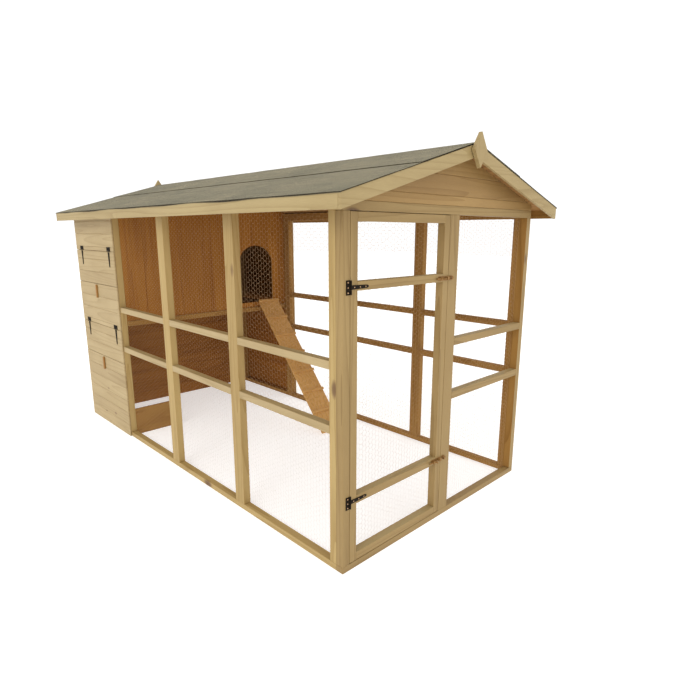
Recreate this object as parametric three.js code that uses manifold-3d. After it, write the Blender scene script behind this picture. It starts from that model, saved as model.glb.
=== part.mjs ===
// Chicken coop with a roofed run: millimetres, +X toward the door gable, +Y toward
// the far side, +Z up. The origin is on the ground in the middle of the footprint.
import * as THREE from "three";
import Module from "manifold-3d";
import { mergeVertices } from "three/addons/utils/BufferGeometryUtils.js";

// ---------------------------------------------------------------- driving sizes
const LENGTH = 3064; // outside of one gable wall to outside of the other
const WIDTH = 1524; // outside of one side frame to outside of the other
const TIMBER = 42; // planed stud, also the depth of every frame
const POST = 84; // posts between the bays of a side
const SILL_H = 32;
const RAIL_H = 38;
const WALL_TOP = 1667.5; // top of the side plates
const PLATE_H = 58;
const LINTEL_TOP = 1637;
const LINTEL_H = 40;
const LOW_RAIL = 653; // underside of the lower mid rails
const HIGH_RAIL = 943; // underside of the upper mid rails
const CLAD = 12; // thickness of the matchboard
const HOUSE_X = -780; // front plane of the raised house
const GAP = 0.3; // left between touching pieces
const NET = 2.5; // depth of the flat netting panels

const PITCH = THREE.MathUtils.degToRad(16.7);
const DECK = 16; // roof boards
const FELT = 3;
const EAVE = 105; // roof edge beyond the side frame
const VERGE = 100; // bargeboard face beyond the gable
const TRIM = 16; // thickness of fascias and bargeboards
const TRIM_H = 58; // their depth
const FINIAL_T = 20;
const FINIAL = { z: 1882, halfHeight: 80, halfWidth: 53 };

const DOOR = { y0: -718, y1: -44, z0: 35, z1: 1594, stile: 42, lowRail: 321, highRail: 1278 };
const DOOR_POST = { y0: -42, y1: 35 };
const HINGE_Y = -719; // line of the door hinge pins
const DOOR_HINGE_Z = { lower: 341, upper: 1294 };
const BOLT_Z = { lower: 341, upper: 1295 };

const FLOOR_TOP = 875; // raised floor of the house
const FLOOR_T = 18;
const HOUSE_RAIL = 840; // underside of the house front
const FRONT_RAIL = { z0: 839, z1: 874, t: 11 };
const POP = { y: 417, halfWidth: 170, sill: 917, top: 1400 };
const LIP = { y1: -362, top: 203, t: 14 };

const HATCHES = {
  upper: { z0: 1127, z1: 1372 },
  lower: { z0: 564, z1: 809 },
};
const BUTTON = { x: -1162, length: 100, width: 20, t: 12, pivot: 18, drop: 26 };

const RAMP = { width: 183, t: 16, length: 1338 };
const RAMP_TOP = { x: -750, y: 515, z: 918 };
const RAMP_SKEW = THREE.MathUtils.degToRad(8.1); // the foot stands nearer the near side
const RAMP_ANGLE = Math.asin((RAMP_TOP.z - 12.5) / RAMP.length);
const CLEAT = { count: 7, first: -8, w: 20, h: 14, step: 192, over: 6 };

const halfL = LENGTH / 2;
const halfW = WIDTH / 2;
const slope = Math.tan(PITCH);
const frameX = halfL - TIMBER; // inner plane of the door gable
const frameY = halfW - TIMBER; // inner plane of the side frames
const deckUnder = (y) => WALL_TOP + GAP + (halfW - Math.abs(y)) * slope;
const deckTop = (y) => deckUnder(y) + DECK / Math.cos(PITCH);

// ---------------------------------------------------------------- materials
const material = (color, roughness, metalness = 0) =>
  new THREE.MeshStandardMaterial({ color, roughness, metalness });
const PINE = material("#d9b98a", 0.75);
const BOARD = material("#cfae82", 0.78);
const TRIM_PINE = material("#e0c596", 0.72);
const FELT_GREEN = material("#8b8a76", 0.95);
const WIRE = material("#b9bdbd", 0.45, 0.8);
const JAPAN = material("#1c1d1b", 0.5, 0.6);
const BRONZE = material("#5c4632", 0.42, 0.7);

// ---------------------------------------------------------------- helpers
const wasm = await Module();
wasm.setup();

const coop = new THREE.Group();
coop.name = "chicken_coop";

function add(name, geometry, mat) {
  const mesh = new THREE.Mesh(geometry, mat.clone());
  mesh.name = name;
  coop.add(mesh);
}

function box(x, y, z) {
  const g = new THREE.BoxGeometry(x[1] - x[0], y[1] - y[0], z[1] - z[0]);
  return g.translate((x[0] + x[1]) / 2, (y[0] + y[1]) / 2, (z[0] + z[1]) / 2);
}

function outline(points, holes = []) {
  const shape = new THREE.Shape(points.map(([u, v]) => new THREE.Vector2(u, v)));
  for (const hole of holes) {
    shape.holes.push(new THREE.Path(hole.map(([u, v]) => new THREE.Vector2(u, v))));
  }
  return shape;
}

// A shape drawn in Y and Z, given thickness from x0 to x1.
function acrossX(shape, x0, x1) {
  const g = new THREE.ExtrudeGeometry(shape, { depth: x1 - x0, bevelEnabled: false });
  const m = new THREE.Matrix4().set(0, 0, 1, x0, 1, 0, 0, 0, 0, 1, 0, 0, 0, 0, 0, 1);
  return g.applyMatrix4(m);
}

function rod(radius, length, axis, centre, sides = 20) {
  const g = new THREE.CylinderGeometry(radius, radius, length, sides);
  if (axis === "x") g.rotateZ(Math.PI / 2);
  if (axis === "z") g.rotateX(Math.PI / 2);
  return g.translate(...centre);
}

function solid(geometry) {
  const g = geometry.clone();
  g.deleteAttribute("normal");
  g.deleteAttribute("uv");
  const merged = mergeVertices(g, 1e-4);
  return new wasm.Manifold(
    new wasm.Mesh({
      numProp: 3,
      vertProperties: merged.attributes.position.array,
      triVerts: new Uint32Array(merged.index.array),
    }),
  );
}

function geometryOf(manifold) {
  const mesh = manifold.getMesh();
  const g = new THREE.BufferGeometry();
  g.setAttribute("position", new THREE.BufferAttribute(mesh.vertProperties, 3));
  g.setIndex(new THREE.BufferAttribute(mesh.triVerts, 1));
  g.computeVertexNormals();
  return g;
}

function join(solids, cuts = []) {
  let made = solid(solids[0]);
  for (const s of solids.slice(1)) made = made.add(solid(s));
  for (const c of cuts) made = made.subtract(solid(c));
  return geometryOf(made);
}

// ---------------------------------------------------------------- side frames
const REAR_STUD = [-halfL + CLAD, -halfL + CLAD + TIMBER];
const HOUSE_POST = [HOUSE_X - POST, HOUSE_X];
const POST_1 = [-104, -104 + POST];
const POST_2 = [657, 657 + POST];
const CORNER_STUD = [frameX - TIMBER, frameX - GAP];
const BAYS = [
  [HOUSE_POST[1], POST_1[0]],
  [POST_1[1], POST_2[0]],
  [POST_2[1], CORNER_STUD[0]],
];
const FAR_POST_X = [-780, -36, 708]; // near edges of the three far posts
const FAR_POST = 76;
const FAR_BAYS = FAR_POST_X.map((x, i) => [x + FAR_POST, FAR_POST_X[i + 1] ?? CORNER_STUD[0]]);
const PLATE_Z = [WALL_TOP - PLATE_H, WALL_TOP];
const nearFrame = [-halfW, -frameY];
const between = (span) => [span[0] + GAP, span[1] - GAP];

add("near_sill", box([REAR_STUD[0], CORNER_STUD[1]], nearFrame, [0, SILL_H]), PINE);
add("near_plate", box([REAR_STUD[0], CORNER_STUD[1]], nearFrame, PLATE_Z), PINE);
const NEAR_POSTS = {
  near_rear_stud: REAR_STUD,
  near_house_post: HOUSE_POST,
  near_post_1: POST_1,
  near_post_2: POST_2,
  near_corner_stud: CORNER_STUD,
};
for (const [name, x] of Object.entries(NEAR_POSTS)) {
  add(name, box(x, nearFrame, between([SILL_H, PLATE_Z[0]])), PINE);
}
BAYS.forEach((bay, i) => {
  const railDepth = [-halfW, -frameY];
  const low = [LOW_RAIL, LOW_RAIL + RAIL_H];
  const high = [HIGH_RAIL, HIGH_RAIL + RAIL_H];
  add("near_lower_rail_" + (i + 1), box(between(bay), railDepth, low), PINE);
  add("near_upper_rail_" + (i + 1), box(between(bay), railDepth, high), PINE);
});

// The far frame is one joined ladder with a window in every bay and over every rail.
const farWindows = [];
for (const bay of FAR_BAYS) {
  farWindows.push([bay, [SILL_H, LOW_RAIL]]);
  farWindows.push([bay, [LOW_RAIL + RAIL_H, HIGH_RAIL]]);
  farWindows.push([bay, [HIGH_RAIL + RAIL_H, PLATE_Z[0]]]);
}
farWindows.push([
  [REAR_STUD[1], FAR_POST_X[0]],
  [SILL_H, PLATE_Z[0]],
]);
add(
  "far_side_frame",
  join(
    [box([REAR_STUD[0], CORNER_STUD[1]], [frameY, halfW], [0, WALL_TOP])],
    farWindows.map(([x, z]) => box(x, [frameY - 5, halfW + 5], z)),
  ),
  PINE,
);

// Hexagonal wire netting lies flat on the inner face of each frame.
const netX = [HOUSE_X + GAP, frameX - NET - 2 * GAP];
const netZ = [4, WALL_TOP - 4];
add("near_netting", box(netX, [-frameY + GAP, -frameY + GAP + NET], netZ), WIRE);
add("far_netting", box(netX, [frameY - GAP - NET, frameY - GAP], netZ), WIRE);

// ---------------------------------------------------------------- cladding of the house bay
const cladX = [-halfL, HOUSE_X];
const nearClad = [-halfW - CLAD, -halfW - GAP];
const farClad = [halfW + GAP, halfW + CLAD];
const farCladX = [-halfL, FAR_POST_X[0] + FAR_POST];
const CLAD_TOP = deckUnder(halfW + CLAD) - 1;
const HATCH_GAP = 2;
const { upper, lower } = HATCHES;
add("near_boards_bottom", box(cladX, nearClad, [0, lower.z0 - HATCH_GAP]), BOARD);
const middleZ = [lower.z1 + HATCH_GAP, upper.z0 - HATCH_GAP];
add("near_boards_middle", box(cladX, nearClad, middleZ), BOARD);
add("near_boards_top", box(cladX, nearClad, [upper.z1 + HATCH_GAP, CLAD_TOP]), BOARD);
add("far_boards", box(farCladX, farClad, [0, CLAD_TOP]), BOARD);

const pentagon = (near, far, base) => [
  [-near, base],
  [far, base],
  [far, deckUnder(far) - 1],
  [0, deckUnder(0) - 1],
  [-near, deckUnder(near) - 1],
];
const rearWall = outline(pentagon(halfW, halfW, 0));
add("rear_gable_wall", acrossX(rearWall, -halfL, -halfL + CLAD - GAP), BOARD);

for (const [name, hatch] of Object.entries(HATCHES)) {
  add(name + "_hatch", box([cladX[0] + 1, cladX[1] - 1], nearClad, [hatch.z0, hatch.z1]), BOARD);
  // The turn button hangs from a screw near its upper end, just under the hatch.
  const top = hatch.z0 - BUTTON.drop + BUTTON.pivot;
  const y0 = -halfW - CLAD - GAP - BUTTON.t;
  const half = BUTTON.width / 2;
  const middle = box(
    [BUTTON.x - half, BUTTON.x + half],
    [y0, y0 + BUTTON.t],
    [top - BUTTON.length + half, top - half],
  );
  const round = (z) => rod(half, BUTTON.t, "y", [BUTTON.x, y0 + BUTTON.t / 2, z], 24);
  const buttonSolid = join([middle, round(top - half), round(top - BUTTON.length + half)]);
  add(name + "_button", buttonSolid, BRONZE);
}

// ---------------------------------------------------------------- door gable
const gableX = [frameX, halfL];
const lintelZ = [LINTEL_TOP - LINTEL_H, LINTEL_TOP];
const studZ = between([SILL_H, lintelZ[0]]);
add("gable_sill", box(gableX, [-halfW, halfW], [0, SILL_H]), PINE);
add("gable_lintel", box(gableX, [-halfW, halfW], lintelZ), PINE);
add("gable_near_stud", box(gableX, [-halfW, -frameY], studZ), PINE);
add("gable_door_post", box(gableX, [DOOR_POST.y0, DOOR_POST.y1], studZ), PINE);
add("gable_far_stud", box(gableX, [frameY, halfW], studZ), PINE);
const gableRailY = between([DOOR_POST.y1, frameY]);
add("gable_lower_rail", box(gableX, gableRailY, [LOW_RAIL, LOW_RAIL + RAIL_H]), PINE);
add("gable_upper_rail", box(gableX, gableRailY, [HIGH_RAIL, HIGH_RAIL + RAIL_H]), PINE);
const gableBoards = outline(pentagon(halfW, halfW, LINTEL_TOP + GAP));
add("gable_boards", acrossX(gableBoards, halfL - CLAD, halfL), BOARD);
const gableNetX = [frameX - GAP - NET, frameX - GAP];
const gableNetY = [DOOR_POST.y0 + 12, frameY - NET - 2 * GAP];
add("gable_netting", box(gableNetX, gableNetY, [4, LINTEL_TOP - 4]), WIRE);

// ---------------------------------------------------------------- door
const doorInner = [DOOR.y0 + DOOR.stile, DOOR.y1 - DOOR.stile];
const doorWindows = [
  [DOOR.z0 + RAIL_H, DOOR.lowRail],
  [DOOR.lowRail + RAIL_H, DOOR.highRail],
  [DOOR.highRail + RAIL_H, DOOR.z1 - RAIL_H],
];
add(
  "door_frame",
  join(
    [box(gableX, [DOOR.y0, DOOR.y1], [DOOR.z0, DOOR.z1])],
    doorWindows.map((z) => box([frameX - 5, halfL + 5], doorInner, z)),
  ),
  PINE,
);
const doorNetY = [DOOR.y0 + 10, DOOR.y1 - 4];
add("door_netting", box(gableNetX, doorNetY, [DOOR.z0 + 8, DOOR.z1 - 8]), WIRE);

// Each tee hinge is a narrow plate on the corner stud, which carries the outer two
// knuckles, and a long strap on the door, which carries the middle one.
const KNUCKLE = { r: 4, x: halfL + GAP + 4, length: 20 };
const PLATE = { y0: HINGE_Y - 25, y1: HINGE_Y - 5, half: 30 };
for (const [name, z] of Object.entries(DOOR_HINGE_Z)) {
  const leafX = [halfL + GAP, halfL + GAP + 2.4];
  const knuckle = (dz) =>
    rod(KNUCKLE.r, KNUCKLE.length - 1, "z", [KNUCKLE.x, HINGE_Y, z + dz * KNUCKLE.length]);
  const plate = box(leafX, [PLATE.y0, PLATE.y1], [z - PLATE.half, z + PLATE.half]);
  const fingers = [-1, 1].map((s) =>
    box(leafX, [HINGE_Y - 8, HINGE_Y], [z + s * 20 - 9, z + s * 20 + 9]),
  );
  add(name + "_hinge_plate", join([plate, ...fingers, knuckle(-1), knuckle(1)]), JAPAN);
  const strap = acrossX(
    outline([
      [HINGE_Y + 5, z - 9],
      [HINGE_Y + 98, z - 6.5],
      [HINGE_Y + 106, z - 3],
      [HINGE_Y + 106, z + 3],
      [HINGE_Y + 98, z + 6.5],
      [HINGE_Y + 5, z + 9],
    ]),
    ...leafX,
  );
  const tongue = box(leafX, [HINGE_Y, HINGE_Y + 8], [z - 9, z + 9]);
  add(name + "_hinge_strap", join([strap, tongue, knuckle(0)]), JAPAN);
}

// Each barrel bolt: a base with two staples on the door, a rod drawn back, a keeper.
const BOLT = { r: 4, x: halfL + GAP + 8.5, y0: -146, y1: -46 };
for (const [name, z] of Object.entries(BOLT_Z)) {
  const base = box([halfL + GAP, halfL + GAP + 1.6], [-124, -47], [z - 11, z + 11]);
  const staple = (y) => box([halfL + GAP, BOLT.x + 6.5], [y - 7, y + 7], [z - 7, z + 7]);
  const bore = rod(BOLT.r + 0.6, 120, "y", [BOLT.x, -85, z]);
  add(name + "_bolt_base", join([base, staple(-112), staple(-60)], [bore]), BRONZE);
  const bar = rod(BOLT.r, BOLT.y1 - BOLT.y0, "y", [BOLT.x, (BOLT.y0 + BOLT.y1) / 2, z]);
  const knob = rod(3.5, 20, "x", [BOLT.x + 10, -100.8, z]);
  add(name + "_bolt_rod", join([bar, knob]), BRONZE);
  const keeperPlate = box([halfL + GAP, halfL + GAP + 1.6], [-38, -8], [z - 11, z + 11]);
  const loop = box([halfL + GAP, BOLT.x + 6.5], [-30, -16], [z - 7, z + 7]);
  const hole = rod(BOLT.r + 0.9, 60, "y", [BOLT.x, -23, z]);
  add(name + "_bolt_keeper", join([keeperPlate, loop], [hole]), BRONZE);
}

// ---------------------------------------------------------------- raised house
const houseY = frameY - GAP;
const archTurns = 10;
const archRise = 150;
const popHole = [];
popHole.push([POP.y - POP.halfWidth, POP.sill]);
for (let i = 0; i <= archTurns; i++) {
  const a = Math.PI - (i * Math.PI) / archTurns;
  const y = POP.y + POP.halfWidth * Math.cos(a);
  popHole.push([y, POP.top - archRise + archRise * Math.sin(a)]);
}
popHole.push([POP.y + POP.halfWidth, POP.sill]);
// The front reaches the far boards, past the inner face of the far frame, and is
// cut round the far plate.
const houseFront = acrossX(
  outline(pentagon(houseY, halfW - GAP, HOUSE_RAIL), [popHole]),
  HOUSE_X - 14,
  HOUSE_X,
);
const plateNotch = box([HOUSE_X - 20, HOUSE_X + 6], [houseY, halfW + 5], [PLATE_Z[0] - GAP, 1700]);
add("house_front", join([houseFront], [plateNotch]), BOARD);
// A rail runs along the foot of the front and closes the edge of the floor.
const frontRail = [HOUSE_X + GAP, HOUSE_X + FRONT_RAIL.t];
const frontRailY = [-frameY + NET + 2, frameY - NET - 2];
add("house_front_rail", box(frontRail, frontRailY, [FRONT_RAIL.z0, FRONT_RAIL.z1]), PINE);
const floorX = [-halfL + CLAD + GAP, HOUSE_X - 14 - GAP];
add("house_floor", box(floorX, [-houseY, houseY], [FLOOR_TOP - FLOOR_T, FLOOR_TOP]), BOARD);
const lipX = [HOUSE_X - LIP.t, HOUSE_X];
add("ground_lip_board", box(lipX, [-houseY, LIP.y1], [0, LIP.top]), TRIM_PINE);

// The ramp is a plain board with cleats across it, a little wider than the board. It
// hangs on a hook line in front of the pop hole and its foot rests on the ground.
const half = RAMP.width / 2;
const rampParts = [box([-8, RAMP.length], [-half, half], [-RAMP.t / 2, RAMP.t / 2])];
for (let i = 0; i < CLEAT.count; i++) {
  const at = CLEAT.first + i * CLEAT.step;
  const seat = RAMP.t / 2 - 1;
  const across = [-half - CLEAT.over, half + CLEAT.over];
  rampParts.push(box([at, at + CLEAT.w], across, [seat, seat + CLEAT.h]));
}
const ramp = join(rampParts);
ramp.applyMatrix4(new THREE.Matrix4().makeRotationY(RAMP_ANGLE));
ramp.applyMatrix4(new THREE.Matrix4().makeRotationZ(-RAMP_SKEW));
ramp.translate(RAMP_TOP.x, RAMP_TOP.y, RAMP_TOP.z);
add("ramp", ramp, TRIM_PINE);

// ---------------------------------------------------------------- roof
const eaveY = halfW + EAVE;
const vergeX = halfL + VERGE;
const panelX = [-vergeX + TRIM + GAP, vergeX - TRIM - GAP];
for (const [name, side] of Object.entries({ near: -1, far: 1 })) {
  const edge = eaveY - TRIM - GAP;
  const panel = [
    [GAP * side, deckUnder(0)],
    [edge * side, deckUnder(edge)],
    [edge * side, deckTop(edge)],
    [GAP * side, deckTop(0)],
  ];
  const turned = side < 0 ? panel.reverse() : panel;
  add(name + "_roof_panel", acrossX(outline(turned), ...panelX), BOARD);
  const top = deckTop(eaveY) - GAP;
  const fasciaY = [eaveY - TRIM, eaveY].map((y) => y * side).sort((a, b) => a - b);
  add(name + "_fascia", box(panelX, fasciaY, [top - TRIM_H, top]), TRIM_PINE);
}
const feltY = eaveY + 2;
const feltLift = FELT / Math.cos(PITCH);
const feltLine = outline([
  [-feltY, deckTop(feltY) + GAP],
  [0, deckTop(0) + GAP],
  [feltY, deckTop(feltY) + GAP],
  [feltY, deckTop(feltY) + GAP + feltLift],
  [0, deckTop(0) + GAP + feltLift],
  [-feltY, deckTop(feltY) + GAP + feltLift],
]);
add("roof_felt", acrossX(feltLine, -vergeX - 3, vergeX + 3), FELT_GREEN);

const vee = TRIM_H / Math.cos(PITCH);
const bargeLine = outline([
  [-eaveY, deckTop(eaveY) - vee],
  [0, deckTop(0) - vee],
  [eaveY, deckTop(eaveY) - vee],
  [eaveY, deckTop(eaveY) - GAP],
  [0, deckTop(0) - GAP],
  [-eaveY, deckTop(eaveY) - GAP],
]);
const diamond = outline([
  [0, FINIAL.z - FINIAL.halfHeight],
  [FINIAL.halfWidth, FINIAL.z],
  [0, FINIAL.z + FINIAL.halfHeight],
  [-FINIAL.halfWidth, FINIAL.z],
]);
const finialX = vergeX + 3 + GAP;
add("door_bargeboards", acrossX(bargeLine, vergeX - TRIM, vergeX), TRIM_PINE);
add("rear_bargeboards", acrossX(bargeLine, -vergeX, -vergeX + TRIM), TRIM_PINE);
add("door_finial", acrossX(diamond, finialX, finialX + FINIAL_T), TRIM_PINE);
add("rear_finial", acrossX(diamond, -finialX - FINIAL_T, -finialX), TRIM_PINE);

export default coop;
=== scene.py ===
"""Looks of a walk-in chicken coop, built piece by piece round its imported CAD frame."""
import math

import bpy
from bpy.props import FloatProperty, FloatVectorProperty, IntProperty, PointerProperty
from mathutils import Matrix, Vector


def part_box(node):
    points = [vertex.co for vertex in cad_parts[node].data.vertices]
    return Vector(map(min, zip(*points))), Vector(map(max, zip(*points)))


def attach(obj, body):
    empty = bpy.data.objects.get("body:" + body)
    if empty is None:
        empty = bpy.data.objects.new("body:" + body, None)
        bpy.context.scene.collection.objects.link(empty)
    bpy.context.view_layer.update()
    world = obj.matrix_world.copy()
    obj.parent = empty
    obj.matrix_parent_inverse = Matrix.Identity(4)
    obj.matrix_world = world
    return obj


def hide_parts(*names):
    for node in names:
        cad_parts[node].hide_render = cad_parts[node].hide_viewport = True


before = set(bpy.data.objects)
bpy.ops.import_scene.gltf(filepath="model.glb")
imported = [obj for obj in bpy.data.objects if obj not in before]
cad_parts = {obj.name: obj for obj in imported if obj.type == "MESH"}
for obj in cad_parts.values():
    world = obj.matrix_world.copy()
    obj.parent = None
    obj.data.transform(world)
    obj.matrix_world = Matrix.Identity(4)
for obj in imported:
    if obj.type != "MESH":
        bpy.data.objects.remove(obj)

bl_info = {
    "name": "Chicken Coop",
    "version": (1, 0, 0),
    "blender": (4, 5, 0),
    "location": "View3D > Sidebar > Coop",
    "description": "Builds a felt-roofed timber chicken coop with a netted run",
    "category": "Object",
}

MM = 0.001
X, Y, Z = 0, 1, 2

# Sizes and places in metres: +X is toward the door gable, +Y toward the far side.
COVER = 93.5 * MM  # face that a matchboard shows
CLAD = 12 * MM  # thickness of the matchboard
GAP = 0.3 * MM  # left between pieces that touch
TIMBER = 42 * MM  # width of a stud, and the depth of every frame
RAIL = 38 * MM  # height of a rail
DECK = 16 * MM  # thickness of the roof boards
PITCH = math.radians(16.7)
HALF_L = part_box("gable_boards")[1].x
HALF_W = -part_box("near_plate")[0].y
FRAME_X = HALF_L - TIMBER  # inner plane of the door gable
FRAME_Y = HALF_W - TIMBER  # inner plane of the side frames
HOUSE_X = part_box("house_front")[1].x
PLATE_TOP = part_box("near_plate")[1].z
FAR_POSTS_X = (-0.780, -0.036, 0.708)
FAR_POST = 76 * MM
DOOR_RAILS_Z = (0.321, 1.278)  # undersides of the two rails between the door's ends
DOOR_HINGE_Y = -0.719
HATCH_HINGES_X = (-1.408, -0.866)
POP_HOLE = {"y": 0.417, "half_width": 0.170, "sill": 0.917, "spring": 1.250, "rise": 0.150}
RAMP_HEAD = (-0.750, 0.515, 0.918)
RAMP_LENGTH, RAMP_HALF_WIDTH, RAMP_HALF_THICK = 1.338, 91.5 * MM, 8 * MM
RAMP_SKEW = math.radians(8.1)
BOARD_NAILS = (26 * MM, 68 * MM)  # above the lower edge of each board
NAILS_TOP = 1.63


# ------------------------------------------------------------------ shader helpers
def linear(colour):
    """sRGB hex to the linear colour a shader socket takes; a picked colour is linear already."""
    if not isinstance(colour, str):
        return [*colour]
    rgb = [int(colour[i:i + 2], 16) / 255 for i in (1, 3, 5)]
    return [c / 12.92 if c <= 0.04045 else ((c + 0.055) / 1.055) ** 2.4 for c in rgb] + [1.0]


def grey(value):
    """A colour with no hue, as a colour ramp takes it."""
    return value, value, value, 1


def node(tree, kind, inputs=None, stops=(), **settings):
    """Adds a node and sets it up. An input that is a socket is linked and any other is set;
    stops are the places and colours of a colour ramp."""
    made = tree.nodes.new("ShaderNode" + kind)
    for key, value in settings.items():
        setattr(made, key, value)
    for key, value in (inputs or {}).items():
        if isinstance(value, bpy.types.NodeSocket):
            tree.links.new(value, made.inputs[key])
        else:
            made.inputs[key].default_value = value
    # A new ramp has two stops, and the others go between them.
    for _ in stops[2:]:
        made.color_ramp.elements.new(0.5)
    for i, (at, colour) in enumerate(stops):
        made.color_ramp.elements[i].position = at
        made.color_ramp.elements[i].color = colour
    return made


def blank(name):
    """A new material, its node tree and its principled shader."""
    mat = bpy.data.materials.new(name)
    mat.use_nodes = True
    return mat, mat.node_tree, mat.node_tree.nodes["Principled BSDF"]


# Settings of a Mix node for colours.
MIXED = {"data_type": "RGBA"}
MULTIPLIED = {"data_type": "RGBA", "blend_type": "MULTIPLY"}
# Patterns run twenty times as far along the grain as across it.
GRAIN = {"X": (0.05, 1, 1), "Y": (1, 0.05, 1), "Z": (1, 1, 0.05)}


def pine(name, axis, light, dark, knot, lane=None, knots=0.05, rough=0.62, gloss=0.5):
    """Pine: long fibres, wandering growth lines and knots, all along one axis. lane is the
    axis across the boards, so that every board gets its own cut of wood."""
    mat, tree, shader = blank(name)
    where = node(tree, "TexCoord").outputs["Object"]
    chance = node(tree, "ObjectInfo").outputs["Random"]
    # Every timber is cut from its own place in the wood.
    jumps = {i: node(tree, "Math", {0: chance, 1: 7.0 + i}, operation="MULTIPLY").outputs[0]
             for i in range(3)}
    shift = node(tree, "CombineXYZ", jumps).outputs[0]
    tone = chance
    if lane:
        across = node(tree, "SeparateXYZ", {0: where}).outputs[lane]
        count = node(tree, "Math", {0: across, 1: COVER}, operation="DIVIDE").outputs[0]
        board = node(tree, "Math", {0: count}, operation="FLOOR").outputs[0]
        noise = node(tree, "TexWhiteNoise", {"W": board}, noise_dimensions="1D")
        tone = noise.outputs["Value"]
        own = node(tree, "VectorMath", {0: noise.outputs["Color"], 1: (5, 6, 7)},
                   operation="MULTIPLY").outputs[0]
        shift = node(tree, "VectorMath", {0: shift, 1: own}, operation="ADD").outputs[0]
    moved = node(tree, "VectorMath", {0: where, 1: shift}, operation="ADD").outputs[0]
    along = node(tree, "VectorMath", {0: moved, 1: GRAIN[axis]}, operation="MULTIPLY").outputs[0]
    # Growth lines: a field with waves of about 110 mm, cut into bands some 10 mm apart.
    field = node(tree, "TexNoise", {"Vector": along, "Scale": 9.0, "Detail": 1.0})
    height = node(tree, "Math", {0: field.outputs[0], 1: 9.0}, operation="MULTIPLY").outputs[0]
    bands = node(tree, "Math", {0: height}, operation="FRACT").outputs[0]
    rings = node(tree, "Math", {0: bands, 1: 3.0}, operation="POWER").outputs[0]
    # Fibres are drawn about 2.4 mm wide, coarser than real ones, so that they show.
    fibre = node(tree, "TexNoise", {"Vector": along, "Scale": 420.0, "Detail": 3.0})
    # Slow changes of tone over about 400 mm.
    cloud = node(tree, "TexNoise", {"Vector": moved, "Scale": 2.5, "Detail": 2.0})
    # Knots: round spots drawn out a little along the grain, one in about 240 mm at most.
    squeeze = [0.45 if share < 1 else 1.0 for share in GRAIN[axis]]
    drawn = node(tree, "VectorMath", {0: moved, 1: squeeze}, operation="MULTIPLY").outputs[0]
    cells = node(tree, "TexVoronoi", {"Vector": drawn, "Scale": 4.2})
    eye = node(tree, "ValToRGB", {0: cells.outputs["Distance"]},
               [(0.0, grey(1)), (knots * 0.6, grey(0.75)), (knots, grey(0))]).outputs[0]
    colour = node(tree, "Mix", {0: rings, 6: linear(light), 7: linear(dark)}, **MIXED).outputs[2]
    for share, value, low, high in (
            (0.75, fibre.outputs[0], (0.3, (0.92, 0.90, 0.87, 1)), (0.7, grey(1.04))),
            (0.8, cloud.outputs[0], (0.3, (0.90, 0.87, 0.81, 1)), (0.7, grey(1.05))),
            (0.9, tone, (0.0, (0.91, 0.88, 0.84, 1)), (1.0, grey(1.05)))):
        cast = node(tree, "ValToRGB", {0: value}, [low, high]).outputs[0]
        colour = node(tree, "Mix", {0: share, 6: colour, 7: cast}, **MULTIPLIED).outputs[2]
    colour = node(tree, "Mix", {0: eye, 6: colour, 7: linear(knot)}, **MIXED).outputs[2]
    tree.links.new(colour, shader.inputs["Base Color"])
    shader.inputs["Roughness"].default_value = rough
    shader.inputs["Specular IOR Level"].default_value = gloss
    bump = node(tree, "Bump", {"Strength": 0.25, "Distance": 0.6 * MM,
                               "Height": fibre.outputs[0]})
    tree.links.new(bump.outputs[0], shader.inputs["Normal"])
    return mat


def felt(grain):
    """Green mineral felt: coarse grains of slate stuck to bitumen, worn and dusty."""
    mat, tree, shader = blank("green_mineral_felt")
    where = node(tree, "TexCoord").outputs["Object"]
    # Grains about 2 mm across, dust in patches of 330 mm, streaks 250 mm long and 40 mm wide.
    grains = node(tree, "TexVoronoi", {"Vector": where, "Scale": 520.0})
    dust = node(tree, "TexNoise", {"Vector": where, "Scale": 3.0, "Detail": 6.0})
    drawn = node(tree, "VectorMath", {0: where, 1: (1.0, 6.0, 6.0)}, operation="MULTIPLY")
    streaks = node(tree, "TexNoise", {"Vector": drawn.outputs[0], "Scale": 4.0, "Detail": 4.0})
    colour = node(tree, "ValToRGB", {0: grains.outputs["Color"]},
                  [(0.25, linear("#5b5545")), (0.55, linear(grain)),
                   (0.85, linear("#9f967a"))]).outputs[0]
    for value, low, high in ((dust.outputs[0], (0.82, 0.83, 0.80, 1), (1.08, 1.06, 1.02, 1)),
                             (streaks.outputs[0], grey(0.86), grey(1.05))):
        cast = node(tree, "ValToRGB", {0: value}, [(0.35, low), (0.65, high)]).outputs[0]
        colour = node(tree, "Mix", {0: 1.0, 6: colour, 7: cast}, **MULTIPLIED).outputs[2]
    tree.links.new(colour, shader.inputs["Base Color"])
    shader.inputs["Roughness"].default_value = 0.92
    bump = node(tree, "Bump", {"Strength": 0.7, "Distance": 1.2 * MM,
                               "Height": grains.outputs["Distance"]})
    tree.links.new(bump.outputs[0], shader.inputs["Normal"])
    return mat


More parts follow.
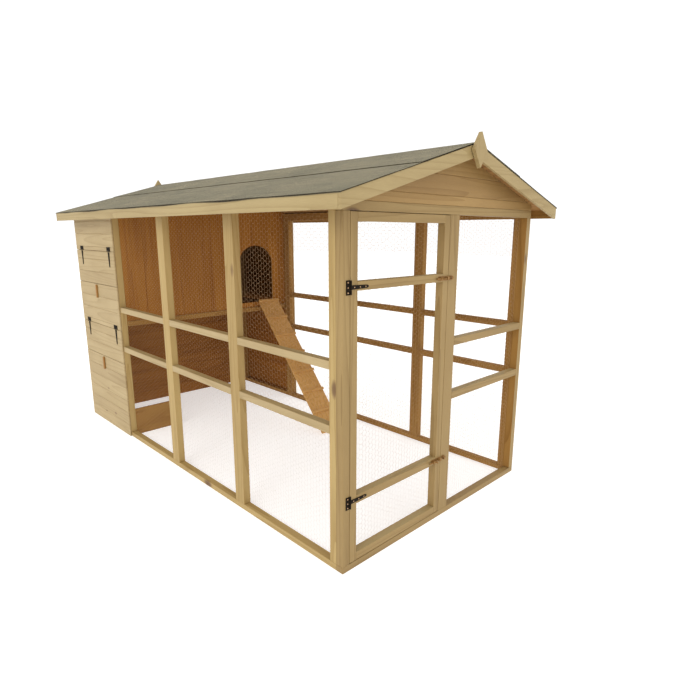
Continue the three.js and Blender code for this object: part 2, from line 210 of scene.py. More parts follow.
def metal(name, base, worn, rough, metallic, gloss=0.5):
    """Coated ironmongery: an uneven coat, rubbed thin in patches of about 8 mm."""
    mat, tree, shader = blank(name)
    where = node(tree, "TexCoord").outputs["Object"]
    patch = node(tree, "TexNoise", {"Vector": where, "Scale": 130.0, "Detail": 5.0}).outputs[0]
    fine = node(tree, "TexNoise", {"Vector": where, "Scale": 900.0, "Detail": 2.0})
    colour = node(tree, "ValToRGB", {0: patch}, [(0.45, linear(base)), (0.72, linear(worn))])
    tree.links.new(colour.outputs[0], shader.inputs["Base Color"])
    rubbed = node(tree, "ValToRGB", {0: patch}, [(0.3, grey(rough)), (0.7, grey(rough + 0.2))])
    tree.links.new(rubbed.outputs[0], shader.inputs["Roughness"])
    shader.inputs["Metallic"].default_value = metallic
    shader.inputs["Specular IOR Level"].default_value = gloss
    bump = node(tree, "Bump", {"Strength": 0.3, "Distance": 0.3 * MM,
                               "Height": fine.outputs[0]})
    tree.links.new(bump.outputs[0], shader.inputs["Normal"])
    return mat


MATERIALS = {}


def stock_materials(finish):
    """One material for each kind of timber, cloth and metal in the coop."""
    for axis in "XYZ":
        way = axis.lower()
        # Planed pine studs and rails: dull yellow timber, faint growth lines, brown knots.
        MATERIALS["stud_" + axis] = pine("planed_pine_along_" + way, axis,
                                         finish.pine, "#a0844c", "#5f3d20", knots=0.1)
        # Studs of the door gable: the same pine, a shade deeper as painted shade, since the gable
        # is turned from the key light.
        MATERIALS["gable_" + axis] = pine("weathered_pine_along_" + way, axis,
                                          "#9b8150", "#8a7040", "#54351b", knots=0.1)
        # The same timber on the faces turned to the run: browner and darker as painted shade under
        # the roof, and rougher and duller.
        MATERIALS["inner_" + axis] = pine("sawn_pine_inner_face_along_" + way, axis,
                                          "#96703a", "#835e2c", "#4b2d14", rough=0.85,
                                          gloss=0.15)
        # Planed pine trim is cleaner and a little greyer than the studs; on the tops of rails it
        # stands as painted light.
        MATERIALS["trim_" + axis] = pine("planed_pine_trim_along_" + way, axis,
                                         "#a79366", "#998457", "#6a4526")
        # Ramp timber: warm orange pine that the hens have polished.
        MATERIALS["ramp_" + axis] = pine("ramp_pine_along_" + way, axis, "#cfa261", "#bf9150",
                                         "#7a4c24", knots=0.03, gloss=0.25)
    # Pine matchboard: every board is its own tone, with a satin planed face.
    MATERIALS["board_X"] = pine("pine_matchboard_level", "X", finish.matchboard, "#a58f64",
                                "#6c4726", "Z", knots=0.06)
    # Matchboard of the gables: darker and warmer than the level boards, as painted shade.
    MATERIALS["board_Y"] = pine("pine_matchboard_across", "Y", "#a0804b", "#92723d",
                                "#5f3d20", "Z", knots=0.07)
    # Backs of the matchboard and the boards of the house: dark and red-brown as painted shade,
    # since these faces lie under the roof and inside the house; rough and dull.
    for axis, way in (("X", "level"), ("Y", "across")):
        MATERIALS["back_" + axis] = pine("matchboard_painted_shade_back_" + way, axis, "#8f5b23", "#7c4b1a",
                                         "#3b220d", "Z", rough=0.88, gloss=0.12)
    MATERIALS["back_Z"] = pine("upright_matchboard_painted_shade", "Z", "#996629", "#8a5822", "#4b2d14", "Y",
                               rough=0.85, gloss=0.12)
    # Sawn roof boards, brown since they never see the plane.
    MATERIALS["roof"] = pine("sawn_pine_roof_board", "X", "#a0763f", "#835a2b", "#4e3219", "Y",
                             rough=0.85)
    MATERIALS["felt"] = felt(finish.felt)
    # Cut edges and turned-down eave strip of the felt: tarry bitumen with a few grains stuck to
    # it, dark enough to stand as the painted shadow line under the felt's edge.
    MATERIALS["bitumen"] = metal("bitumen_edge_painted_shadow", "#2a251d", "#514a3c", 0.8, 0.0, 0.1)
    # Black japanned steel: near-black stoved lacquer with a dull gloss.
    MATERIALS["japan"] = metal("black_japanned_steel", "#17110a", "#2c2114", 0.6, 0.0, 0.08)
    # Bronzed steel: brown lacquered bolt, lighter where it rubs.
    MATERIALS["bronze"] = metal("bronze_lacquered_steel", "#86602f", "#ab8450", 0.38, 0.35, 0.35)
    # Galvanised wire and nails: dull zinc with the warm tone of the boards painted in as a painted
    # reflection.
    MATERIALS["zinc"] = metal("galvanised_wire_painted_board_reflection", "#b08c68", "#cfab86", 0.6, 0.0, 0.15)
    # Stained hardwood of the turn buttons: orange-brown with a dark grain.
    MATERIALS["button"] = pine("stained_hardwood", "Z", "#a07436", "#7d5524", "#3a2210")


# ------------------------------------------------------------------ modelling helpers
def deselect():
    """Leaves nothing selected, since operators act on all that is."""
    bpy.ops.object.select_all(action="DESELECT")


def pick(obj):
    """Selects one object and makes it active."""
    deselect()
    obj.select_set(True)
    bpy.context.view_layer.objects.active = obj
    return obj


def settle(obj, name):
    """Writes place, turn and size into the mesh, so that the object sits at the origin."""
    pick(obj)
    bpy.ops.object.transform_apply(location=True, rotation=True, scale=True)
    obj.name = obj.data.name = name
    return obj


def apply_modifier(obj, kind, **settings):
    """Adds a modifier, sets it and writes its result into the mesh."""
    pick(obj)
    mod = obj.modifiers.new(kind.title(), kind)
    for key, value in settings.items():
        setattr(mod, key, value)
    bpy.ops.object.modifier_apply(modifier=mod.name)
    return obj


def soften(obj, width, segments=2):
    """Rounds the arrises that a plane or sander leaves."""
    return apply_modifier(obj, "BEVEL", width=width, segments=segments, limit_method="ANGLE",
                          angle_limit=math.radians(35))


def bar(name, lo, hi, material, arris=1.6 * MM, segments=2):
    """A squared timber or plate between two corners, with softened arrises."""
    lo, hi = Vector(lo), Vector(hi)
    bpy.ops.mesh.primitive_cube_add(size=1, location=(lo + hi) / 2)
    obj = bpy.context.object
    obj.scale = hi - lo
    settle(obj, name)
    obj.data.materials.append(MATERIALS[material])
    return soften(obj, min(arris, min(hi - lo) * 0.3), segments)


def joined(name, objs):
    """Joins pieces of one body into one object."""
    deselect()
    for obj in objs:
        obj.select_set(True)
    bpy.context.view_layer.objects.active = objs[0]
    if len(objs) > 1:
        bpy.ops.object.join()
    obj = bpy.context.object
    obj.name = obj.data.name = name
    return obj


def copy_of(node_name, name, material, width=1.2 * MM, segments=2):
    """A piece of its own cut to the outline of a CAD node, with softened arrises."""
    obj = bpy.data.objects.new(name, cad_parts[node_name].data.copy())
    bpy.context.collection.objects.link(obj)
    pick(obj)
    bpy.ops.object.mode_set(mode="EDIT")
    bpy.ops.mesh.select_all(action="SELECT")
    bpy.ops.mesh.remove_doubles(threshold=0.00002)
    bpy.ops.mesh.dissolve_limited(angle_limit=math.radians(1))
    bpy.ops.object.mode_set(mode="OBJECT")
    obj.data.materials.clear()
    obj.data.materials.append(MATERIALS[material])
    return soften(obj, width, segments)


def finish_side(obj, outward, material):
    """Gives the faces that look one way their own surface; here mostly painted light and shade
    chosen by the way a face turns.
    """
    obj.data.materials.append(MATERIALS[material])
    for face in obj.data.polygons:
        if face.normal.dot(Vector(outward)) > 0.7:
            face.material_index = len(obj.data.materials) - 1
    return obj


def place(obj, body, slot_name, *nodes):
    """Sends a finished piece off with its body, standing for the CAD nodes it covers."""
    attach(obj, body)
    if nodes:
        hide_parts(*nodes)
    return obj


def smooth(obj, angle=30):
    """Shades gentle bends smooth and leaves sharp edges sharp."""
    pick(obj)
    bpy.ops.object.shade_smooth_by_angle(angle=math.radians(angle))
    return obj


def select_where(obj, test):
    """Opens a piece in edit mode with only the vertices selected whose place passes the test."""
    pick(obj)
    bpy.ops.object.mode_set(mode="EDIT")
    bpy.ops.mesh.select_mode(type="VERT")
    bpy.ops.mesh.select_all(action="DESELECT")
    bpy.ops.object.mode_set(mode="OBJECT")
    for vertex in obj.data.vertices:
        vertex.select = test(vertex.co)
    bpy.ops.object.mode_set(mode="EDIT")


def bisect(obj, point, normal):
    """Saws off what lies beyond a plane and closes the cut."""
    pick(obj)
    bpy.ops.object.mode_set(mode="EDIT")
    bpy.ops.mesh.select_all(action="SELECT")
    bpy.ops.mesh.bisect(plane_co=point, plane_no=normal, use_fill=True, clear_outer=True)
    bpy.ops.object.mode_set(mode="OBJECT")


def matchboard(name, box, along, through, material):
    """Tongued and grooved boards over a flat space. They lie along one axis and are thin
    through another; their long arrises are chamfered into vees."""
    lo, hi = box
    across = X + Y + Z - along - through
    narrowest = 6 * MM
    edges = [lo[across]]
    joint = math.floor(lo[across] / COVER + 1e-6) + 1
    while joint * COVER < hi[across] - narrowest:
        if joint * COVER > lo[across] + narrowest:
            edges.append(joint * COVER)
        joint += 1
    edges.append(hi[across])
    boards = []
    for low, high in zip(edges, edges[1:]):
        start, end = list(lo), list(hi)
        start[across], end[across] = low + GAP / 2, high - GAP / 2
        boards.append(bar(name, start, end, material, 2.2 * MM, 1))
    return joined(name, boards)


def roof_under(y):
    """Height of the underside of the roof boards at a distance from the ridge."""
    return PLATE_TOP + GAP + (HALF_W - abs(y)) * math.tan(PITCH)


def trim_to_roof(obj):
    """Saws the top of a boarded wall to both slopes of the roof."""
    for side in (-1, 1):
        normal = Vector((0, side * math.sin(PITCH), math.cos(PITCH)))
        bisect(obj, Vector((0, 0, roof_under(0) - 1 * MM)), normal)
    return obj


def long_axis(lo, hi):
    """Letter of the axis that a timber's grain runs along."""
    size = [hi[i] - lo[i] for i in range(3)]
    return "XYZ"[size.index(max(size))]


# ------------------------------------------------------------------ settings
def swatch(name, description, default):
    """A colour setting whose default is given as sRGB hex."""
    return FloatVectorProperty(name=name, description=description, default=linear(default),
                               size=4, min=0, max=1, subtype="COLOR")


class COOP_PG_finish(bpy.types.PropertyGroup):
    pine: swatch("Pine", "Pale wood between the growth lines of studs and rails", "#b0965f")
    matchboard: swatch("Matchboard", "Pale wood of the boards on the house", "#b19c72")
    felt: swatch("Felt", "Commonest grain of the roof felt", "#7f785e")


class COOP_PG_timber(bpy.types.PropertyGroup):
    arris: FloatProperty(name="Arris", description="Rounding of planed timber edges",
                         default=1.8 * MM, min=0.2 * MM, unit="LENGTH", subtype="DISTANCE")


class COOP_PG_netting(bpy.types.PropertyGroup):
    cell: FloatProperty(name="Cell", description="Width of a netting cell across its flats",
                        default=25 * MM, unit="LENGTH", subtype="DISTANCE")
    wire: FloatProperty(name="Wire", description="Radius of the netting wire",
                        default=0.38 * MM, unit="LENGTH", subtype="DISTANCE")


class COOP_PG_felt(bpy.types.PropertyGroup):
    thickness: FloatProperty(name="Thickness", description="Thickness of the felt",
                             default=2.6 * MM, unit="LENGTH", subtype="DISTANCE")
    steps: IntProperty(name="Steps", description="Divisions along the roof", default=90, min=8)


class COOP_PG_ramp(bpy.types.PropertyGroup):
    cleats: IntProperty(name="Cleats", description="Cleats across the ramp", default=7, min=1)


# ------------------------------------------------------------------ operators
class COOP_OT_timbers(bpy.types.Operator):
    """Single studs, posts, rails, sills and plates, each planed and knotty in its own way"""
    bl_idname = "coop.timbers"
    bl_label = "Studs And Rails"
    bl_options = {"REGISTER", "UNDO"}
    NODES = (
        "near_sill near_plate near_rear_stud near_house_post near_post_1 near_post_2 "
        "near_corner_stud near_lower_rail_1 near_lower_rail_2 near_lower_rail_3 "
        "near_upper_rail_1 near_upper_rail_2 near_upper_rail_3 gable_sill gable_lintel "
        "gable_near_stud gable_door_post gable_far_stud gable_lower_rail gable_upper_rail "
        "house_front_rail"
    ).split()

    def execute(self, context):
        arris = context.scene.coop_timber.arris
        for name in self.NODES:
            lo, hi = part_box(name)
            way = long_axis(lo, hi)
            # Timbers of the door gable take the darker gable pine as painted shade.
            wood = "gable_" if name.startswith("gable") else "stud_"
            near = name.startswith("near")
            # The near rails are cut from the boards' paler wood.
            if near and "rail" in name:
                wood = "board_"
            obj = bar(name + "_timber", lo, hi, wood + way, arris)
            # The tops of the rails take the trim pine as painted light from the sky above; it is
            # lighter than the shaded gable pine.
            if "rail" in name:
                finish_side(obj, (0, 0, 1), "trim_" + way)
            # Faces turned into the run get the darker inner pine as painted shade; so do both ends
            # of the house front rail and the run side of the far gable stud.
            finish_side(obj, (0, 1, 0) if near else (-1, 0, 0), "inner_" + way)
            if name == "house_front_rail":
                finish_side(obj, (1, 0, 0), "inner_" + way)
            if name == "gable_far_stud":
                finish_side(obj, (0, -1, 0), "inner_" + way)
            place(obj, "coop", "planed_pine", name)
        return {"FINISHED"}


class COOP_OT_ladders(bpy.types.Operator):
    """The far side frame and the door, put together from their own studs and rails"""
    bl_idname = "coop.ladders"
    bl_label = "Far Frame And Door"
    bl_options = {"REGISTER", "UNDO"}

    def execute(self, context):
        arris = context.scene.coop_timber.arris
        place(self.far_frame(arris), "coop", "planed_pine", "far_side_frame")
        place(self.door(arris), "door", "planed_pine", "door_frame")
        return {"FINISHED"}

    def far_frame(self, arris):
        """The same heights as the near side, with narrower posts."""
        sill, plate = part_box("near_sill"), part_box("near_plate")
        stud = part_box("near_corner_stud")
        rails = [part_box(rail)[0].z for rail in ("near_lower_rail_1", "near_upper_rail_1")]
        posts = [(sill[0].x, sill[0].x + TIMBER)]
        posts += [(x, x + FAR_POST) for x in FAR_POSTS_X]
        posts.append((stud[0].x, stud[1].x))
        members = [sill, plate]
        members += [(Vector((a, 0, stud[0].z)), Vector((b, 0, stud[1].z))) for a, b in posts]
        # The first bay is boarded, so it has no rails.
        for (_, a), (b, _) in zip(posts[1:], posts[2:]):
            members += [(Vector((a + GAP, 0, z)), Vector((b - GAP, 0, z + RAIL))) for z in rails]
        bars = []
        for lo, hi in members:
            lo, hi = (lo.x, FRAME_Y, lo.z), (hi.x, HALF_W, hi.z)
            way = long_axis(lo, hi)
            # The far frame is the dark inner pine as painted shade, all but its outer face.
            timber = bar("far", lo, hi, "inner_" + way, arris)
            bars.append(finish_side(timber, (0, 1, 0), "stud_" + way))
        return joined("far_frame_timbers", bars)

    def door(self, arris):
        """Two stiles with four rails between them."""
        lo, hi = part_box("door_frame")
        left, right = (lo.y, lo.y + TIMBER), (hi.y - TIMBER, hi.y)
        # The door stiles are the darker gable pine, painted shade.
        bars = [bar("door", (FRAME_X, a, lo.z), (HALF_L, b, hi.z), "gable_Z", arris)
                for a, b in (left, right)]
        for z in (lo.z, *DOOR_RAILS_Z, hi.z - RAIL):
            ends = (FRAME_X, left[1] + GAP, z), (HALF_L, right[0] - GAP, z + RAIL)
            # Door rails: the darker gable pine as painted shade, their tops the trim pine as
            # painted light.
            bars.append(finish_side(bar("door", *ends, "gable_Y", arris), (0, 0, 1), "trim_Y"))
        return joined("door_timbers", bars)


class COOP_OT_cladding(bpy.types.Operator):
    """Matchboard on the house walls, the hatches, both gables, the house front and floor"""
    bl_idname = "coop.cladding"
    bl_label = "Matchboard"
    bl_options = {"REGISTER", "UNDO"}

    def execute(self, context):
        near = {"near_boards_bottom": "coop", "near_boards_middle": "coop",
                "near_boards_top": "coop", "far_boards": "coop",
                "upper_hatch": "upper_hatch", "lower_hatch": "lower_hatch"}
        for name, body in near.items():
            wall = matchboard(name + "_matchboard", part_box(name), X, Y, "board_X")
            # The inner faces of the side boards take the dark back colour as painted shade.
            finish_side(wall, (0, -1 if name == "far_boards" else 1, 0), "back_X")
            place(wall, body, "pine_matchboard", name)
        for name in ("rear_gable_wall", "gable_boards"):
            # Gable boards: the darker gable matchboard outside and the back colour inside, both
            # painted shade.
            wall = matchboard(name + "_matchboard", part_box(name), Y, X, "board_Y")
            finish_side(wall, (1 if name.startswith("rear") else -1, 0, 0), "back_Y")
            place(trim_to_roof(wall), "coop", "pine_matchboard", name)
        # The house front is wholly the dark back colour, painted shade.
        front = matchboard("house_front_matchboard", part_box("house_front"), Z, X, "back_Z")
        self.saw_pop_hole(trim_to_roof(front))
        place(front, "coop", "pine_matchboard", "house_front")
        # The house floor is wholly the dark back colour, painted shade.
        floor = matchboard("house_floor_boards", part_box("house_floor"), Y, Z, "back_Y")
        place(floor, "coop", "pine_matchboard", "house_floor")
        lo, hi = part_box("ground_lip_board")
        # The ground lip is wholly the dark inner pine, painted shade.
        place(bar("ground_lip", lo, hi, "inner_Y"), "coop", "pine_trim", "ground_lip_board")
        return {"FINISHED"}

    def saw_pop_hole(self, wall):
        """The pop hole has upright sides and a round head."""
        y, half, sill, spring, rise = POP_HOLE.values()
        through = 0.2
        bpy.ops.mesh.primitive_cylinder_add(vertices=48, radius=1, depth=through,
                                            location=(HOUSE_X, y, spring),
                                            rotation=(0, math.pi / 2, 0))
        head = bpy.context.object
        head.scale = (rise, half, 1)
        settle(head, "head")
        bpy.ops.mesh.primitive_cube_add(size=1, location=(HOUSE_X, y, (sill + spring) / 2))
        legs = bpy.context.object
        legs.scale = (through, 2 * half, spring - sill)
        settle(legs, "legs")
        for saw in (legs, head):
            apply_modifier(wall, "BOOLEAN", object=saw, operation="DIFFERENCE", solver="EXACT")
            bpy.data.objects.remove(saw)


class COOP_OT_netting(bpy.types.Operator):
    """Hexagonal wire netting on every open panel and on the door"""
    bl_idname = "coop.netting"
    bl_label = "Wire Netting"
    bl_options = {"REGISTER", "UNDO"}

    def execute(self, context):
        jobs = {"near_netting": "coop", "far_netting": "coop", "gable_netting": "coop",
                "door_netting": "door"}
        for name, body in jobs.items():
            place(self.panel(context.scene.coop_netting, name), body, "wire_netting", name)
        return {"FINISHED"}

    def panel(self, size, name):
        """Rows of hexagonal cells over one opening, turned into wires."""
        lo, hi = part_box(name)
        flat = X if hi.x - lo.x > hi.y - lo.y else Y
        wide, tall = (hi - lo)[flat], hi.z - lo.z
        side = size.cell / math.sqrt(3)
        # Two neighbouring cells, twists level; rows of them, then the rows one over another.
        cells = []
        for x, z in ((0, 0), (1.5 * side, size.cell / 2)):
            bpy.ops.mesh.primitive_circle_add(vertices=6, radius=side, location=(x, 0, z),
                                              rotation=(math.pi / 2, math.pi / 6, 0))
            cells.append(settle(bpy.context.object, "cell"))
        net = joined("net", cells)
        # The last row stops half a cell short, as its second cell stands higher.
        columns, rows = int(wide / (3 * side)), int(tall / size.cell - 0.5)
        for count, step in ((columns, (3 * side, 0, 0)), (rows, (0, 0, size.cell))):
            apply_modifier(net, "ARRAY", count=count, use_relative_offset=False,
                           use_constant_offset=True, constant_offset_displace=step)
        bpy.ops.object.mode_set(mode="EDIT")
        bpy.ops.mesh.select_all(action="SELECT")
        bpy.ops.mesh.remove_doubles(threshold=0.3 * MM)
        bpy.ops.object.mode_set(mode="OBJECT")
        pick(net)
        bpy.ops.object.convert(target="CURVE")
        net = bpy.context.object
        net.data.bevel_depth = size.wire
        net.data.bevel_resolution = 0
        net.data.fill_mode = "FULL"
        bpy.ops.object.convert(target="MESH")
        net = bpy.context.object
        net.data.materials.clear()
        net.data.materials.append(MATERIALS["zinc"])
        if flat == Y:
            net.rotation_euler = (0, 0, math.pi / 2)
        settle(net, name + "_wire")
        box = [Vector(corner) for corner in net.bound_box]
        low = Vector([min(corner[i] for corner in box) for i in range(3)])
        high = Vector([max(corner[i] for corner in box) for i in range(3)])
        net.location = (lo + hi - low - high) / 2
        return settle(net, name + "_wire")


class COOP_OT_roof(bpy.types.Operator):
    """Roof boards, the three lapped widths of felt, fascias, bargeboards and finials"""
    bl_idname = "coop.roof"
    bl_label = "Roof"
    bl_options = {"REGISTER", "UNDO"}

    def execute(self, context):
        for name in ("near_roof_panel", "far_roof_panel"):
            place(copy_of(name, name + "_deck", "roof"), "coop", "pine_matchboard", name)
        for name in ("near_fascia", "far_fascia"):
            lo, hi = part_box(name)
            # Two lengths of board butt together.
            butt, gap = lo.x + (hi.x - lo.x) * 0.37, 0.4 * MM
            halves = [bar("f", lo, (butt - gap, hi.y, hi.z), "trim_X"),
                      bar("f", (butt + gap, lo.y, lo.z), hi, "trim_X")]
            fascia = joined(name + "_board", halves)
            # The fascia's face turned in under the eaves takes the dark inner pine as painted
            # shade.
            finish_side(fascia, (0, 1 if name.startswith("near") else -1, 0), "inner_X")
            place(fascia, "coop", "pine_trim", name)
        for name in ("door_bargeboards", "rear_bargeboards", "door_finial", "rear_finial"):
            wood = "trim_Z" if "finial" in name else "trim_Y"
            place(copy_of(name, name + "_cut", wood, 1.5 * MM), "coop", "pine_trim", name)
        self.felting(context.scene.coop_felt)
        return {"FINISHED"}

    def felting(self, size):
        """Two lower widths, then one over the ridge that laps them. The eave edges wander in
        waves of about 700 mm and 2.7 m."""
        lo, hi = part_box("roof_felt")
        eave, length = hi.y - 0.4 * MM, hi.x - lo.x
        ridge = roof_under(0) + DECK / math.cos(PITCH) + 0.4 * MM
        edge, lap = eave * 0.47, 60 * MM
        under, over = 0.2 * MM, 3.2 * MM
        strips = []
        for a, b, lift in ((-eave, lap - edge, under), (edge - lap, eave, under),
                           (-edge, edge, over)):
            bpy.ops.mesh.primitive_grid_add(x_subdivisions=size.steps, y_subdivisions=24, size=1)
            strip = bpy.context.object
            strip.scale, strip.location = (length, b - a, 1), (0, (a + b) / 2, 0)
            settle(strip, "felt")
            for vertex in strip.data.vertices:
                at = vertex.co
                at.z = ridge - abs(at.y) * math.tan(PITCH) + lift
                # The last strip of each eave is folded down over the fascia.
                if abs(at.y) > eave - 1 * MM:
                    at.z -= 4 * MM + 3 * MM * math.sin(at.x * 9) * math.sin(at.x * 2.3)
                elif abs(at.y) > eave - 24 * MM:
                    at.y = math.copysign(eave - 1.5 * MM, at.y)
                    at.z = ridge - abs(at.y) * math.tan(PITCH) + lift
            apply_modifier(strip, "SOLIDIFY", thickness=size.thickness, offset=1.0)
            strips.append(strip)
        cloth = joined("roof_felt_widths", strips)
        waves = bpy.data.textures.new("felt_waves", "CLOUDS")
        waves.noise_scale = 0.16
        apply_modifier(cloth, "DISPLACE", texture=waves, strength=2.4 * MM, mid_level=0.5,
                       direction="Z", texture_coords="LOCAL")
        cloth.data.materials.clear()
        cloth.data.materials.append(MATERIALS["felt"])
        # Faces turned out at the edges take the bitumen, partly a painted shadow line along the
        # eaves.
        for out in ((1, 0, 0), (-1, 0, 0), (0, 1, 0), (0, -1, 0)):
            finish_side(cloth, out, "bitumen")
        place(smooth(cloth, 40), "coop", "mineral_felt", "roof_felt")


class COOP_OT_ramp(bpy.types.Operator):
    """The hens' ramp: one board with cleats nailed across it"""
    bl_idname = "coop.ramp"
    bl_label = "Ramp"
    bl_options = {"REGISTER", "UNDO"}

    def execute(self, context):
        half, thick = RAMP_HALF_WIDTH, RAMP_HALF_THICK
        parts = [bar("ramp", (-thick, -half, -thick), (RAMP_LENGTH, half, thick), "ramp_X")]
        for i in range(context.scene.coop_ramp.cleats):
            at, over = -thick + 192 * MM * i, half + 6 * MM
            parts.append(bar("cleat", (at, -over, thick + 0.2 * MM),
                             (at + 20 * MM, over, thick + 13 * MM), "ramp_Y", 2 * MM))
        obj = joined("ramp_board", parts)
        fall = math.asin((RAMP_HEAD[Z] - 12.5 * MM) / RAMP_LENGTH)
        obj.matrix_world = (Matrix.Translation(RAMP_HEAD) @ Matrix.Rotation(-RAMP_SKEW, 4, "Z")
                            @ Matrix.Rotation(fall, 4, "Y"))
        place(settle(obj, "ramp_board"), "ramp", "pine_trim", "ramp")
        return {"FINISHED"}


def drive(name, spots, radius, axis, material, body, slot_name):
    """Domed heads of screws or nails, modelled once and copied, each with its own mesh."""
    turn = {"X": (0, math.pi / 2, 0), "-Y": (math.pi / 2, 0, 0), "Y": (-math.pi / 2, 0, 0),
            "-X": (0, -math.pi / 2, 0)}[axis]
    bpy.ops.mesh.primitive_cylinder_add(vertices=10, radius=radius, depth=radius * 0.5,
                                        rotation=turn)
    first = settle(bpy.context.object, name)
    soften(first, radius * 0.22, 1)
    first.data.materials.append(MATERIALS[material])
    heads = []
    for spot in spots:
        head = bpy.data.objects.new(name, first.data.copy())
        bpy.context.collection.objects.link(head)
        head.location = spot
        heads.append(settle(head, name))
    bpy.data.objects.remove(first)
    place(smooth(joined(name, heads)), body, slot_name)


class COOP_OT_ironmongery(bpy.types.Operator):
    """Tee hinges of the door and hatches, barrel bolts, turn buttons, nails and screws"""
    bl_idname = "coop.ironmongery"
    bl_label = "Ironmongery"
    bl_options = {"REGISTER", "UNDO"}

    def execute(self, context):
        for side in ("lower", "upper"):
            for part, body in (("hinge_plate", "coop"), ("hinge_strap", "door")):
                name = f"{side}_{part}"
                obj = copy_of(name, name + "_steel", "japan", 0.5 * MM, 1)
                place(smooth(obj), body, "japanned_steel", name)
            for part, body in (("bolt_base", "door"), ("bolt_rod", side + "_bolt"),
                               ("bolt_keeper", "coop")):
                name = f"{side}_{part}"
                obj = copy_of(name, name + "_steel", "bronze", 0.5 * MM, 1)
                place(smooth(obj), body, "bronzed_steel", name)
            button = side + "_button"
            obj = copy_of(button, side + "_turn_button", "button", 1.5 * MM)
            place(smooth(obj), button, "stained_hardwood", button)
            self.hatch_hinges(side)
        self.hinge_screws()
        self.nails()
        return {"FINISHED"}

    def hatch_hinges(self, side):
        """Each hatch hangs on two tee hinges, their plates on the board above."""
        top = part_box(side + "_hatch")[1].z
        face = -HALF_W - CLAD
        leaf = (face - 2.4 * MM, face - 0.3 * MM)
        plates, straps = [], []
        for x in HATCH_HINGES_X:
            plates.append(bar("plate", (x - 32 * MM, leaf[0], top + 5 * MM),
                              (x + 32 * MM, leaf[1], top + 32 * MM), "japan", 0.5 * MM, 1))
            bpy.ops.mesh.primitive_cylinder_add(vertices=20, radius=1.7 * MM, depth=60 * MM,
                                                location=(x, face - 2 * MM, top + 1 * MM),
                                                rotation=(0, math.pi / 2, 0))
            pin = settle(bpy.context.object, "pin")
            pin.data.materials.append(MATERIALS["japan"])
            plates.append(soften(pin, 0.3 * MM, 1))
            tip, root = top - 110 * MM, top - 4 * MM
            strap = bar("strap", (x - 14 * MM, leaf[0], tip), (x + 14 * MM, leaf[1], root),
                        "japan", 0.5 * MM, 1)
            # The strap narrows towards its tip.
            select_where(strap, lambda at: at.z < (tip + root) / 2)
            bpy.ops.transform.resize(value=(0.45, 1, 1), center_override=(x, leaf[0], tip))
            bpy.ops.object.mode_set(mode="OBJECT")
            straps.append(strap)
        place(smooth(joined(side + "_hatch_hinge_plates", plates)), "coop", "japanned_steel")
        place(smooth(joined(side + "_hatch_straps", straps)), side + "_hatch", "japanned_steel")
        proud = leaf[0] - 0.6 * MM
        drive(side + "_strap_screws",
              [(x, proud, top - down) for x in HATCH_HINGES_X for down in (0.025, 0.055, 0.090)],
              3.6 * MM, "-Y", "japan", side + "_hatch", "japanned_steel")
        drive(side + "_hatch_plate_screws",
              [(x + aside, proud, top + 0.018) for x in HATCH_HINGES_X
               for aside in (-0.020, 0, 0.020)],
              3.6 * MM, "-Y", "japan", "coop", "japanned_steel")
        lo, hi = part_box(side + "_button")
        drive(side + "_button_screw", [((lo.x + hi.x) / 2, lo.y - 0.8 * MM, hi.z - 0.018)],
              4.5 * MM, "-Y", "zinc", side + "_button", "japanned_steel")

    def hinge_screws(self):
        """Round heads on the door's hinges, bolts and keepers."""
        def heights(part):
            boxes = [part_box(side + part) for side in ("lower_", "upper_")]
            return [(lo.z + hi.z) / 2 for lo, hi in boxes]

        hinges, bolts = heights("hinge_plate"), heights("bolt_base")
        proud = HALF_L + 3.3 * MM
        drive("hinge_plate_screws",
              [(proud, DOOR_HINGE_Y - 0.015, z + up) for z in hinges for up in (-0.021, 0, 0.021)],
              3.2 * MM, "X", "zinc", "coop", "japanned_steel")
        drive("hinge_strap_screws",
              [(proud, DOOR_HINGE_Y + along, z) for z in hinges
               for along in (0.022, 0.055, 0.088)],
              3.0 * MM, "X", "zinc", "door", "japanned_steel")
        proud = HALF_L + 2.4 * MM
        drive("bolt_base_screws",
              [(proud, y, z + up) for z in bolts for y in (-0.094, -0.078)
               for up in (-0.0075, 0.0075)],
              2.2 * MM, "X", "bronze", "door", "bronzed_steel")
        drive("keeper_screws",
              [(proud, -0.034, z + up) for z in bolts for up in (-0.0085, 0.0085)],
              2.0 * MM, "X", "bronze", "coop", "bronzed_steel")

    def nails(self):
        """Two nails through each board at each post."""
        rows = [board * COVER + up for board in range(17) for up in BOARD_NAILS]
        rows = [z for z in rows if z < NAILS_TOP]
        hatches = [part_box(name) for name in ("upper_hatch", "lower_hatch")]
        margin = 10 * MM
        clear = [z for z in rows
                 if not any(lo.z - margin < z < hi.z + margin for lo, hi in hatches)]
        rear_stud, proud = 33 * MM - HALF_L, HALF_W + CLAD + 0.4 * MM
        drive("near_nails",
              [(x, -proud, z) for x in (rear_stud, HOUSE_X - TIMBER) for z in clear],
              2.2 * MM, "-Y", "zinc", "coop", "planed_pine")
        drive("far_nails",
              [(x, proud, z) for x in (rear_stud, HOUSE_X + FAR_POST / 2) for z in rows],
              2.2 * MM, "Y", "zinc", "coop", "planed_pine")
        drive("rear_nails",
              [(-HALF_L - 0.4 * MM, y, z) for y in (-0.741, 0, 0.741) for z in rows],
              2.2 * MM, "-X", "zinc", "coop", "planed_pine")


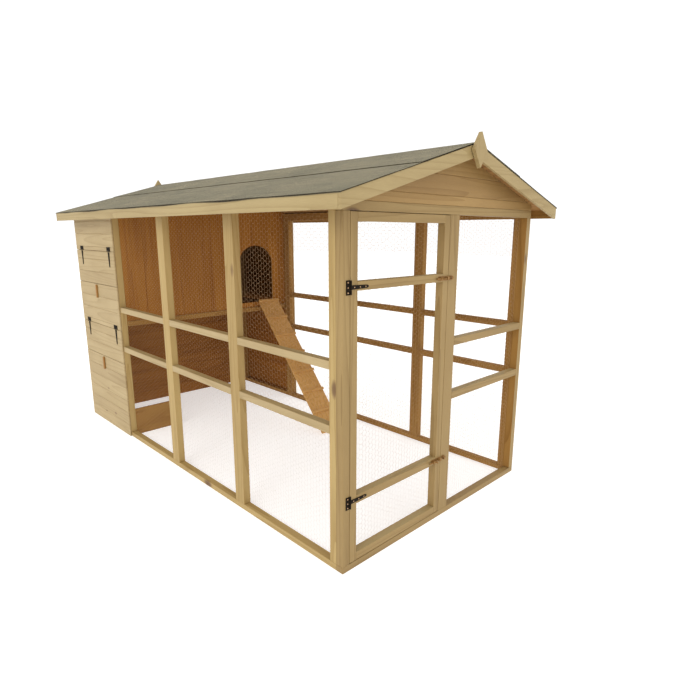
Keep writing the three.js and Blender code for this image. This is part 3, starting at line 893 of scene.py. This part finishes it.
class COOP_OT_stage(bpy.types.Operator):
    """Pale floor, soft light and the camera"""
    bl_idname = "coop.stage"
    bl_label = "Stage"
    bl_options = {"REGISTER", "UNDO"}

    def execute(self, context):
        bpy.ops.mesh.primitive_plane_add(size=60, location=(0, 0, -0.5 * MM))
        floor = bpy.context.object
        floor.name = "floor"
        mat, _, shader = blank("pale_floor")
        shader.inputs["Base Color"].default_value = linear("#cdcdcc")
        shader.inputs["Roughness"].default_value = 0.9
        shader.inputs["Emission Color"].default_value = (1, 1, 1, 1)
        shader.inputs["Emission Strength"].default_value = 0.6
        floor.data.materials.append(mat)
        world = bpy.data.worlds.new("studio")
        context.scene.world = world
        world.use_nodes = True
        background = world.node_tree.nodes["Background"]
        background.inputs["Color"].default_value = (1, 1, 1, 1)
        background.inputs["Strength"].default_value = 1.12
        # Name, tilt, bearing, strength and apparent size, angles in degrees.
        for name, tilt, bearing, strength, size in (("key", 56, 22, 0.5, 25),
                                                    ("fill", 60, 95, 0.05, 60)):
            sun = bpy.data.lights.new(name, "SUN")
            sun.energy = strength
            sun.angle = math.radians(size)
            lamp = bpy.data.objects.new(name, sun)
            lamp.rotation_euler = (math.radians(tilt), 0, math.radians(bearing))
            context.collection.objects.link(lamp)
        camera = bpy.data.objects.new("camera", bpy.data.cameras.new("camera"))
        context.collection.objects.link(camera)
        camera.location = (3.0413, -2.2061, 1.5120)
        bearing, tilt, roll = (math.radians(angle) for angle in (45.436, 77.338, 0.172))
        turn = (Matrix.Rotation(bearing, 3, "Z") @ Matrix.Rotation(tilt, 3, "X")
                @ Matrix.Rotation(roll, 3, "Z"))
        camera.rotation_euler = turn.to_euler()
        camera.data.sensor_width = 36
        camera.data.lens = 26.92
        context.scene.camera = camera
        context.scene.view_settings.view_transform = "Standard"
        return {"FINISHED"}


class COOP_PT_panel(bpy.types.Panel):
    bl_label = "Chicken Coop"
    bl_space_type = "VIEW_3D"
    bl_region_type = "UI"
    bl_category = "Coop"

    def draw(self, context):
        for group in GROUPS:
            for key in GROUPS[group].__annotations__:
                self.layout.prop(getattr(context.scene, group), key)
        for op in OPERATORS:
            self.layout.operator(op.bl_idname)


GROUPS = {
    "coop_finish": COOP_PG_finish,
    "coop_timber": COOP_PG_timber,
    "coop_netting": COOP_PG_netting,
    "coop_felt": COOP_PG_felt,
    "coop_ramp": COOP_PG_ramp,
}
OPERATORS = [COOP_OT_timbers, COOP_OT_ladders, COOP_OT_cladding, COOP_OT_netting,
             COOP_OT_roof, COOP_OT_ramp, COOP_OT_ironmongery, COOP_OT_stage]


def register():
    for cls in [*GROUPS.values(), *OPERATORS, COOP_PT_panel]:
        bpy.utils.register_class(cls)
    for name, cls in GROUPS.items():
        setattr(bpy.types.Scene, name, PointerProperty(type=cls))


def unregister():
    for name in GROUPS:
        delattr(bpy.types.Scene, name)
    for cls in reversed([*GROUPS.values(), *OPERATORS, COOP_PT_panel]):
        bpy.utils.unregister_class(cls)


def main():
    """Registers the add-on and builds the coop in order."""
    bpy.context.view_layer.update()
    register()
    stock_materials(bpy.context.scene.coop_finish)
    for op in OPERATORS:
        group, name = op.bl_idname.split(".")
        getattr(getattr(bpy.ops, group), name)()


if __name__ == "__main__":
    main()
